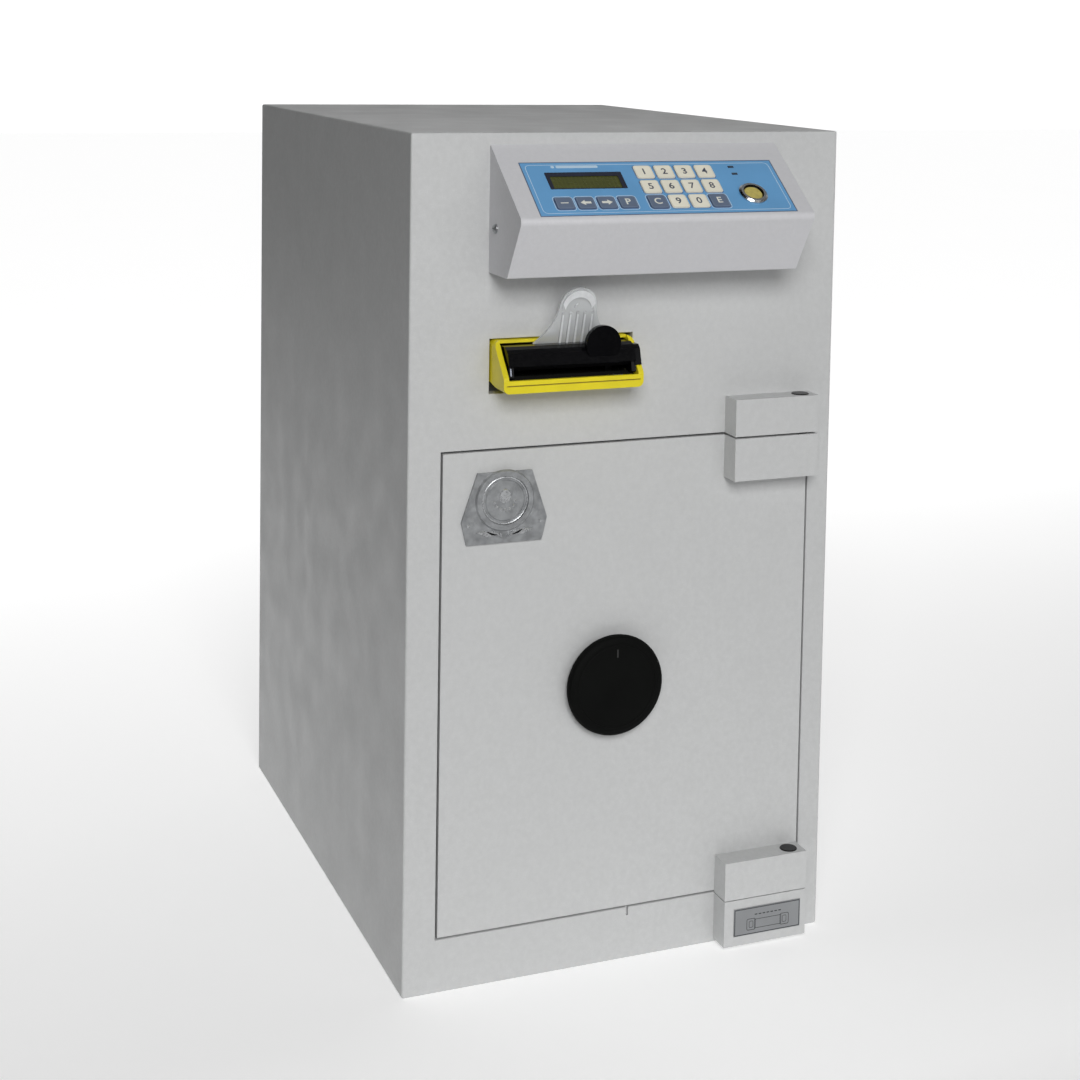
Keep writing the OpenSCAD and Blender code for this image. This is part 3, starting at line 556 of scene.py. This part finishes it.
KEY_SIZE, SOFT_KEY_SIZE, KEY_GAP = (15.4, 15.4), (14.4, 13.4), 1.5
LEGENDS = {"key_c": "C", "key_e": "E", "key_p": "P"}
ARROW = [(-4.6, 0), (-0.6, 3.0), (-0.6, 1.2), (4.4, 1.2), (4.4, -1.2), (-0.6, -1.2), (-0.6, -3.0)]


def key_centre(key):
    """A key's middle on the panel, in millimetres."""
    centre = PANEL.inverted() @ middle(key)
    return centre.x / MM, centre.y / MM


def overlay_prints():
    """The film's printed lines, painted shade along its edge and round the keys, the display's dark
    frame and a plain bar in place of a name.
    """
    light, dark, gaps = bmesh.new(), bmesh.new(), bmesh.new()
    width, height = OVERLAY_SIZE
    rounded_band(light, width - 7.4, height - 6.4, 4.5, 0.55, 0.0, PRINT, PANEL, OVERLAY_MIDDLE)
    # Painted shade: a dark band along the film's edge
    rounded_band(dark, width, height, 0.4, 0.75, 0.0, PRINT, PANEL, OVERLAY_MIDDLE)
    for key in SOFT_KEYS:
        rounded_band(light, 17.3, 17.0, 3.4, 0.55, 0.0, PRINT, PANEL, key_centre(key))
    for key in DIGIT_KEYS:
        if key in SLATE_KEYS:
            rounded_band(light, 18.4, 18.4, 3.6, 0.55, 0.0, PRINT, PANEL, key_centre(key))
    # Painted shade: dark rings in the gap round each key
    for keys, size, corner in ((DIGIT_KEYS, KEY_SIZE, 2.9), (SOFT_KEYS, SOFT_KEY_SIZE, 2.4)):
        for key in keys:
            rounded_band(gaps, size[0] + KEY_GAP, size[1] + KEY_GAP, corner, 0.5,
                         0.0, PRINT * 1.5, PANEL, key_centre(key))
    prism(light, rounded(36.0, 3.0, 1.2, NAME_BAR), 0.0, PRINT, PANEL)
    prism(light, rounded(3.0, 3.0, 1.4, NAME_DOT), 0.0, PRINT, PANEL)
    new_object("overlay_light_print", light, PRINT_LIGHT, "cabinet")
    new_object("overlay_edge_painted_shade", dark, FILM_EDGE_PAINTED_SHADE, "cabinet")
    new_object("overlay_key_gap_painted_shade", gaps, KEY_GAP_PAINTED_SHADE, "cabinet")

    frame_mesh = bmesh.new()
    width, height = LCD_X[1] - LCD_X[0], LCD_V[1] - LCD_V[0]
    outer = rounded(width + 2.2, height + 2.0, 0.6, LCD_MIDDLE)
    inner = rounded(width - 5.2, height - 3.6, 0.3, LCD_OPENING)
    band(frame_mesh, outer, inner, 0.0, 0.22, PANEL)
    new_object("display_frame", frame_mesh, LCD_FRAME, "cabinet")


def key_legends():
    """Each key's character, arrow or bar, and a fine line round its top."""
    for key in DIGIT_KEYS + SOFT_KEYS:
        x, y = key_centre(key)
        place = PANEL @ Matrix.Translation((x * MM, y * MM, (KEY_TOP + 0.02) * MM))
        slate = key in SLATE_KEYS
        material, slot = (LEGEND_LIGHT, "key_ivory") if slate else (LEGEND_DARK, "key_slate")
        name = key + "_legend"
        if key in ("key_left", "key_right"):
            sign = 1 if key == "key_left" else -1
            mesh = bmesh.new()
            prism(mesh, [(sign * px, sign * py) for px, py in ARROW], 0.0, PRINT, place)
            new_object(name, mesh, material, key)
        elif key == "key_blank":
            mesh = bmesh.new()
            prism(mesh, rounded(6.6, 1.0, 0.3), 0.0, PRINT, place)
            new_object(name, mesh, material, key)
        else:
            character(name, LEGENDS.get(key, key[-1]), LEGEND_SIZE, place, material, key)
        rim = bmesh.new()
        width, height = SOFT_KEY_SIZE if key in SOFT_KEYS else KEY_SIZE
        rounded_band(rim, width - 1.0, height - 1.0, 1.7, 0.35, 0.0, PRINT * 1.4, place)
        new_object(key + "_edge", rim, SLATE_EDGE if slate else IVORY_EDGE, key)


def reader_ring():
    """The black insulator between the reader's rim and its contact, and the contact's ring."""
    mesh = bmesh.new()
    place = PANEL @ Matrix.Translation((READER[0] * MM, READER[1] * MM, 0.0))
    lathe(mesh, [(7.95, -2.4), (7.95, 0.55), (8.25, 0.8), (8.5, 2.35), (8.68, 2.35), (8.68, -2.4)],
          place)
    piece = new_object("reader_insulator", mesh, BLACK_GLOSS, "cabinet")
    smooth(piece, 30)
    ring = bmesh.new()
    lathe(ring, [(5.6, 0.98), (5.6, 1.06), (5.9, 1.06), (5.9, 0.98)], place)
    new_object("reader_contact_ring", ring, GOLD, "cabinet")


overlay_prints()
key_legends()
reader_ring()


# ---------------------------------------------------------------- badge, plate, knob, acceptor

BADGE_X, BADGE_Z, BADGE_FACE, BADGE_RING = -108.7, 403.2, 2.4, 19.1
# The clear fin: its middle, its foot, its lean and the height of its ribs
FIN_X, FIN_OUT, FIN_FOOT_Z, FIN_LEAN = -53.5, 4.7, 528.8, 17.0
FIN_HEAD, FIN_RIB_TOP, FIN_RIB_PITCH = 34.4, 3.7, 6.3
LIP_EDGE_Z, BLOCK_FOOT_Z = 504.0, 507.7


def badge_relief():
    """A raised ring, a plain disc with dots and a fan of leaves under it, lighter than the plate as
    a painted highlight.
    """
    place = facing_front(BADGE_X, FRONT, BADGE_Z)
    mesh = bmesh.new()
    inner, outer = BADGE_RING - 0.5, BADGE_RING + 0.5
    lathe(mesh, [(inner, BADGE_FACE), (inner, BADGE_FACE + 0.9), (BADGE_RING, BADGE_FACE + 1.1),
                 (outer, BADGE_FACE + 0.9), (outer, BADGE_FACE)], place, 64)
    for x in (-31.0, 31.0):
        prism(mesh, round_outline(1.5, (x, -19.0), 20), BADGE_FACE, BADGE_FACE + 0.9, place, 0.5)
    for side in (-1, 1):
        for leaf in range(4):
            turn = math.radians(14 + 21 * leaf)
            reach = 9.0 + 3.4 * leaf
            base = (side * (2.0 + 1.2 * leaf), -30.6 + 0.9 * leaf)
            tip = (base[0] + side * reach * math.sin(turn),
                   base[1] + 0.5 * reach * math.cos(turn) + 1.0)
            across = ((tip[1] - base[1]) * 0.13, -(tip[0] - base[0]) * 0.13)
            mid = ((base[0] + tip[0]) / 2, (base[1] + tip[1]) / 2)
            outline = [base, (mid[0] + across[0], mid[1] + across[1]), tip,
                       (mid[0] - across[0], mid[1] - across[1])]
            if side < 0:
                outline.reverse()
            prism(mesh, outline, BADGE_FACE, BADGE_FACE + 1.1, place, 0.45)
    for number in range(7):
        angle = math.radians(200 + 23.3 * number)
        prism(mesh, round_outline(1.25, (9.8 * math.cos(angle), 9.8 * math.sin(angle) + 2.0), 12),
              BADGE_FACE + 0.7, BADGE_FACE + 1.5, place, 0.5)
    prism(mesh, round_outline(5.2, (0.0, 3.5), 32, 1.15), BADGE_FACE + 0.7, BADGE_FACE + 1.6,
          place, 0.7)
    # The relief's lighter colour is a painted highlight
    new_object("badge_relief", mesh, CAST_PAINTED_HIGHLIGHT, "door")


def rating_plate_print():
    """An etched border, a plain bar in place of words, and a simple outline drawing."""
    plate_low, plate_high = low("rating_plate"), high("rating_plate")
    width, height = ((plate_high - plate_low) / MM).x, ((plate_high - plate_low) / MM).z
    centre = middle("rating_plate") / MM
    place = facing_front(centre.x, plate_low.y / MM, centre.z)
    mesh = bmesh.new()
    rounded_band(mesh, width - 0.8, height - 0.8, 0.6, 0.7, -0.02, PRINT, place)
    rounded_band(mesh, 26.0, 8.2, 0.5, 0.45, -0.02, PRINT, place, (0.6, -3.0))
    for x in (-15.4, 16.6):
        rounded_band(mesh, 8.6, 10.2, 1.6, 0.5, -0.02, PRINT, place, (x, -3.0))
        rounded_band(mesh, 4.0, 6.0, 1.2, 0.4, -0.02, PRINT, place, (x, -3.0))
    for x in range(7):
        prism(mesh, rounded(2.6, 0.9, 0.2, (-10.8 + 3.8 * x, 5.2)), -0.02, PRINT, place)
    new_object("rating_plate_print", mesh, PRINT_PLATE, "cabinet")


def knob_detail():
    """A fine turned ring on the knob's face, and a short index line."""
    centre = middle("door_knob") / MM
    place = facing_front(centre.x, low("door_knob").y / MM, centre.z)
    mesh = bmesh.new()
    lathe(mesh, [(34.0, -1.3), (34.0, -0.75), (34.6, -0.55), (35.2, -0.75), (35.2, -1.3)],
          place, 96)
    piece = new_object("knob_ring", mesh, KNOB_BLACK, "knob")
    smooth(piece, 30)
    mark = bmesh.new()
    prism(mark, rounded(1.2, 7.0, 0.5, (0.0, 28.0)), -1.2, -0.62, place)
    new_object("knob_mark", mark, KNOB_MARK, "knob")


def acceptor_detail():
    """Painted highlights on the fin's rim and ribs, painted shade in the tray's groove, and painted
    highlights on the smoked lip and on the mouth's end block.
    """
    fin_place = (Matrix.Translation((FIN_X * MM, (FRONT - FIN_OUT) * MM, FIN_FOOT_Z * MM))
                 @ Matrix.Rotation(math.radians(90 + FIN_LEAN), 4, "X"))
    # Painted highlight: white strips on the fin's rim and ribs
    rim = bmesh.new()
    outer = [(14.0 * math.cos(math.radians(a)), FIN_HEAD + 14.0 * math.sin(math.radians(a)))
             for a in range(8, 173, 6)]
    inner = [(11.4 * math.cos(math.radians(a)), FIN_HEAD - 4.2 + 12.4 * math.sin(math.radians(a)))
             for a in range(172, 7, -6)]
    prism(rim, outer + inner, FIN_RIB_TOP - 0.1, FIN_RIB_TOP - 0.02, fin_place)
    for rib in range(-2, 3):
        x = FIN_RIB_PITCH * rib
        prism(rim, [(x - 0.9, 2.0), (x + 0.9, 2.0), (x + 0.55, 27.6), (x - 0.55, 27.6)],
              FIN_RIB_TOP - 0.1, FIN_RIB_TOP + 0.06, fin_place)
    new_object("fin_painted_highlight", rim, FIN_PAINTED_HIGHLIGHT, "cabinet")

    bezel_low, bezel_high = low("acceptor_bezel") / MM, high("acceptor_bezel") / MM
    # Painted shade: a dark line in the tray's groove
    tray = facing_front(0.0, bezel_low.y, 0.0)
    groove = bmesh.new()
    left, right = bezel_low.x + 3, bezel_high.x - 3
    bottom, top = bezel_low.z + 5.7, bezel_low.z + 6.6
    prism(groove, [(left, bottom), (right, bottom), (right, top), (left, top)], -0.78, -0.7, tray)
    new_object("tray_groove_painted_shade", groove, GROOVE_PAINTED_SHADE, "cabinet")

    # The lip's top rises from its edge to the slot
    lip = (Matrix.Translation((0.0, low("mouth_lip").y, LIP_EDGE_Z * MM))
           @ Matrix.Rotation(math.atan(1 / 4), 4, "X"))
    # Painted highlight: light strips on the lip's top and on the mouth's end block
    edge = bmesh.new()
    prism(edge, [(-64.0, 0.2), (-19.0, 0.2), (-16.5, 3.6), (-26.0, 3.2), (-40.0, 1.8)],
          0.0, 0.08, lip)
    # The mouth's end block leans back from its foot
    block = (facing_front(low("mouth_upper").x / MM + 1.6, low("mouth_upper").y / MM, BLOCK_FOOT_Z)
             @ Matrix.Rotation(-math.atan(4 / 17.8), 4, "X"))
    prism(edge, rounded(0.9, 6.0, 0.3, (0.0, 4.2)), 0.0, 0.1, block)
    new_object("mouth_lip_painted_highlight", edge, LIP_PAINTED_HIGHLIGHT, "cabinet")


badge_relief()
rating_plate_print()
knob_detail()
acceptor_detail()


# ---------------------------------------------------------------- behind the door and at the back

COVER_SCREWS_X, COVER_SCREWS_Z = (-133.0, 122.0), (68.0, 166.0, 322.0, 420.0)
HANDLE_HALF, HANDLE_Z, HANDLE_REACH = 46.0, 300.0, 13
LOCK_ASIDE, LOCK_Z = 84.0, 380.0


def cross_screw(mesh, place, radius=4.2, height=1.6):
    """A domed screw head with a raised cross."""
    prism(mesh, round_outline(radius, steps=24), 0.0, height, place, 0.7)
    for turn in (0, 90):
        spin = place @ Matrix.Rotation(math.radians(turn), 4, "Z")
        prism(mesh, rounded(radius, 0.7, 0.1), height, height + 0.12, spin)


def inside_detail():
    """The boltwork cover's screws, and the cassette's handle and lock."""
    cover_back = high("boltwork_cover").y / MM
    turned = (Matrix.Rotation(math.radians(180), 4, "Z")
              @ Matrix.Rotation(math.radians(90), 4, "X"))
    screws = bmesh.new()
    for x in COVER_SCREWS_X:
        for z in COVER_SCREWS_Z:
            spot = Matrix.Translation((x * MM, cover_back * MM, z * MM))
            cross_screw(screws, spot @ turned)
    new_object("boltwork_screws", screws, ZINC, "door")

    cassette_low = low("cash_cassette") / MM
    middle_x = middle("cash_cassette").x / MM
    handle = bmesh.new()
    arc = []
    for step in range(13):
        angle = math.pi * step / 12
        out = 2 + HANDLE_REACH * math.sin(angle) ** 0.5
        arc.append(Vector((middle_x - HANDLE_HALF * math.cos(angle), cassette_low.y - out,
                           HANDLE_Z)) * MM)
    tube(handle, arc, 3.6 * MM, 12)
    piece = new_object("cassette_handle", handle, KNOB_BLACK, "cabinet")
    smooth(piece, 50)
    plates = bmesh.new()
    for x in (-HANDLE_HALF, HANDLE_HALF):
        place = facing_front(middle_x + x, cassette_low.y, HANDLE_Z)
        prism(plates, rounded(13.0, 26.0, 3.0), 0.0, 2.0, place, 0.5)
    new_object("cassette_handle_plates", plates, ZINC, "cabinet")
    lock = bmesh.new()
    place = facing_front(middle_x + LOCK_ASIDE, cassette_low.y, LOCK_Z)
    lathe(lock, [(0.01, 0.0), (11.0, 0.0), (11.0, 2.2), (9.6, 3.4), (7.6, 3.4), (7.2, 2.8),
                 (0.01, 2.8)], place)
    prism(lock, rounded(1.4, 7.0, 0.4), 2.8, 3.1, place)
    piece = new_object("cassette_lock", lock, BRIGHT, "cabinet")
    smooth(piece, 30)


inside_detail()


# ---------------------------------------------------------------- light and camera

# The surround's strength in front, behind, on the left and above, and where each one fades
SKY_FRONT, SKY_BACK, SKY_LEFT, SKY_TOP = 0.4, 1.1, 0.0, 0.3
SKY_DEPTH_FADE, SKY_SIDE_FADE, SKY_RISE_FADE = (-0.1, 0.55), (-0.4, 0.08), (0.08, 0.36)
# The floor's glow, the left and front edges of its pale part and the width of their fade
FLOOR_GLOW_NEAR, FLOOR_GLOW_FAR, FLOOR_GLOW_FADE = 0.36, 0.86, (-0.3, 1.2)
FLOOR_LEFT, FLOOR_FRONT, FLOOR_FADE = -0.5, -0.5, 0.9
FLOOR_REACH, FLOOR_DROP = 12.0, 0.3
# Each lamp's place, what it faces, its width and height, and its power in watts
LAMPS = {"key": ((-0.72, -2.6, 1.75), (0.0, -0.1, 0.35), (1.3, 1.0), 51.0),
         "front fill": ((0.9, -2.9, 1.0), (0.0, 0.0, 0.35), (1.8, 1.2), 9.0)}
# Yaw, pitch and roll in degrees; the lens and sensor in millimetres
CAMERA_TURN, CAMERA_LENS, CAMERA_SENSOR = (22.879, 4.209, 1.055), 63.952, 36.0
CAMERA_SHIFT, CAMERA_AT = (-0.0592, -0.3421), (-0.6317, -1.6945, 0.7832)


def area_light(name, location, target, size, power):
    """A soft rectangular lamp, turned towards a target."""
    data = bpy.data.lights.new(name, "AREA")
    data.shape = "RECTANGLE"
    data.size, data.size_y = size
    data.energy = power
    lamp = bpy.data.objects.new(name, data)
    bpy.context.scene.collection.objects.link(lamp)
    lamp.location = location
    lamp.rotation_euler = (Vector(target) - Vector(location)).to_track_quat("-Z", "Y").to_euler()


def sky():
    """Soft surround light: bright behind, dim in front and above, and dark on the left."""
    world = bpy.data.worlds.new("studio")
    bpy.context.scene.world = world
    world.use_nodes = True
    tree = world.node_tree
    background = tree.nodes["Background"]
    background.inputs["Color"].default_value = (1.0, 1.0, 1.0, 1.0)
    direction = tree.nodes.new("ShaderNodeSeparateXYZ")
    tree.links.new(tree.nodes.new("ShaderNodeTexCoord").outputs["Generated"], direction.inputs[0])

    def ramp(axis, fade, first, last):
        node = tree.nodes.new("ShaderNodeMapRange")
        node.interpolation_type = "SMOOTHSTEP"
        values = {"From Min": fade[0], "From Max": fade[1], "To Min": first, "To Max": last}
        for socket, value in values.items():
            node.inputs[socket].default_value = value
        tree.links.new(direction.outputs[axis], node.inputs["Value"])
        return node.outputs["Result"]

    def times(first, second):
        node = tree.nodes.new("ShaderNodeMath")
        node.operation = "MULTIPLY"
        tree.links.new(first, node.inputs[0])
        tree.links.new(second, node.inputs[1])
        return node.outputs[0]

    around = times(ramp("Y", SKY_DEPTH_FADE, SKY_FRONT, SKY_BACK),
                   ramp("X", SKY_SIDE_FADE, SKY_LEFT, 1.0))
    strength = times(around, ramp("Z", SKY_RISE_FADE, 1.0, SKY_TOP))
    tree.links.new(strength, background.inputs["Strength"])


def floor_paint():
    """A plain pale floor that greys slowly to the left and towards the viewer."""
    made = Nodes("studio floor")
    place = made.tree.nodes.new("ShaderNodeSeparateXYZ")
    made.link(made.coords, place.inputs[0])

    def product(first, second):
        node = made.tree.nodes.new("ShaderNodeMath")
        node.operation = "MULTIPLY"
        made.link(first, node.inputs[0])
        made.link(second, node.inputs[1])
        return node.outputs[0]

    light = product(made.remap(place.outputs["X"], 0.0, 1.0, FLOOR_LEFT - FLOOR_FADE, FLOOR_LEFT),
                    made.remap(place.outputs["Y"], 0.0, 1.0, FLOOR_FRONT - FLOOR_FADE, FLOOR_FRONT))
    drift = made.remap(made.noise(2.0, 2.0), 0.0, 1.0)
    pale = made.mix(drift, srgb(229, 229, 229), srgb(233, 233, 233))
    made.link(made.mix(light, srgb(122, 122, 122), pale), made.bsdf.inputs["Base Color"])
    made.bsdf.inputs["Roughness"].default_value = 0.8
    made.bsdf.inputs["Specular IOR Level"].default_value = 0.1
    made.bsdf.inputs["Emission Color"].default_value = (1.0, 1.0, 1.0, 1.0)
    glow = made.remap(place.outputs["Y"], FLOOR_GLOW_NEAR, FLOOR_GLOW_FAR, *FLOOR_GLOW_FADE)
    made.link(product(light, glow), made.bsdf.inputs["Emission Strength"])
    return made.mat


def studio():
    """The sky, the floor and two soft lamps."""
    sky()
    floor_mesh = bmesh.new()
    bmesh.ops.create_grid(floor_mesh, x_segments=1, y_segments=1, size=FLOOR_REACH)
    mesh = bpy.data.meshes.new("floor")
    floor_mesh.to_mesh(mesh)
    floor_mesh.free()
    floor = bpy.data.objects.new("floor", mesh)
    floor.location.z = -FLOOR_DROP * MM
    bpy.context.scene.collection.objects.link(floor)
    mesh.materials.append(floor_paint())
    for name, (location, target, size, power) in LAMPS.items():
        area_light(name, location, target, size, power)


def camera():
    """The view from the left of the front, a little above."""
    yaw, pitch, roll = (math.radians(angle) for angle in CAMERA_TURN)
    forward = Vector((math.sin(yaw) * math.cos(pitch), math.cos(yaw) * math.cos(pitch),
                      -math.sin(pitch)))
    across = Vector((math.cos(yaw), -math.sin(yaw), 0.0))
    up = across.cross(forward)
    right = across * math.cos(roll) + up * math.sin(roll)
    up = up * math.cos(roll) - across * math.sin(roll)
    data = bpy.data.cameras.new("camera")
    data.lens = CAMERA_LENS
    data.sensor_width = CAMERA_SENSOR
    data.shift_x, data.shift_y = CAMERA_SHIFT
    seen_from = bpy.data.objects.new("camera", data)
    bpy.context.scene.collection.objects.link(seen_from)
    turn = Matrix((right, up, -forward)).transposed().to_4x4()
    seen_from.matrix_world = Matrix.Translation(CAMERA_AT) @ turn
    bpy.context.scene.camera = seen_from


studio()
camera()
bpy.context.scene.view_settings.view_transform = "Standard"
